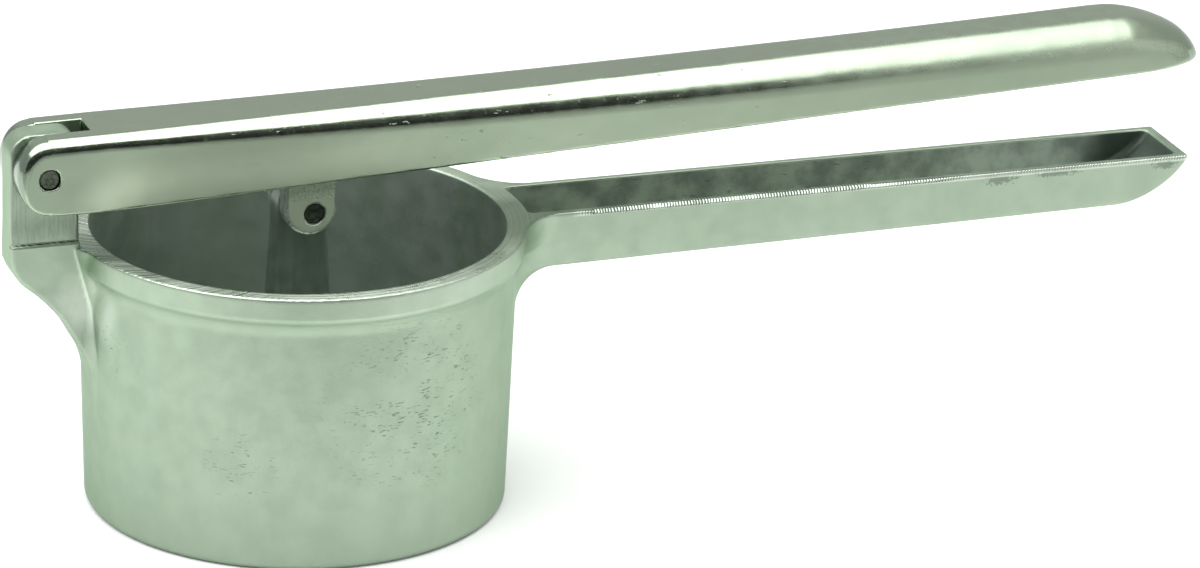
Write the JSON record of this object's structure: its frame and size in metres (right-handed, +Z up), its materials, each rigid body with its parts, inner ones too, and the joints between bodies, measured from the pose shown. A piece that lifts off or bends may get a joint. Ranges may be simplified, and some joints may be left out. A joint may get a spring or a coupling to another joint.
{
  "type": "potato ricer",
  "caption": "Hand potato ricer: a cast hopper with a perforated bottom and channel handle, and a hinged press lever that drives a pivoting round plunger.",
  "frame": {"origin": "centre of the cup's round base, on the surface it stands on", "axes": "+X from the cup towards the handle tips, +Z up along the cup's axis, +Y to complete a right-handed frame"},
  "size_m": [0.2448, 0.088, 0.0847],
  "materials": {
    "cast_body": "vibrated casting, satin, with fine pits; rim filed bright",
    "cast_lever": "vibrated casting, smooth satin, bright along the rounded edges",
    "cast_plunger": "as-cast satin",
    "plunger_sheet": "pressed sheet, satin",
    "strainer_sheet": "punched sheet, satin",
    "pin_steel": "dull dark steel"
  },
  "bodies": {
    "hopper": {"hopper_casting": "cast_body", "strainer_disc": "strainer_sheet", "hinge_pin": "pin_steel"},
    "lever": {"press_lever": "cast_lever", "plunger_pin": "pin_steel"},
    "plunger": {"plunger_stem": "cast_plunger", "press_disc": "plunger_sheet", "plunger_screw": "pin_steel"}
  },
  "joints": [
    {"name": "lever_hinge", "type": "hinge", "parent": "hopper", "child": "lever", "pos_m": [-0.0515, 0, 0.0718], "axis": [0, -1, 0], "range_deg": [0, 74]},
    {"name": "plunger_swing", "type": "hinge", "parent": "lever", "child": "plunger", "pos_m": [0.0011, 0, 0.0596], "axis": [0, -1, 0], "range_deg": [-56, 0]}
  ],
  "couplings": [
    {"joint": "plunger_swing", "follows": "lever_hinge", "ratio": -0.75}
  ]
}
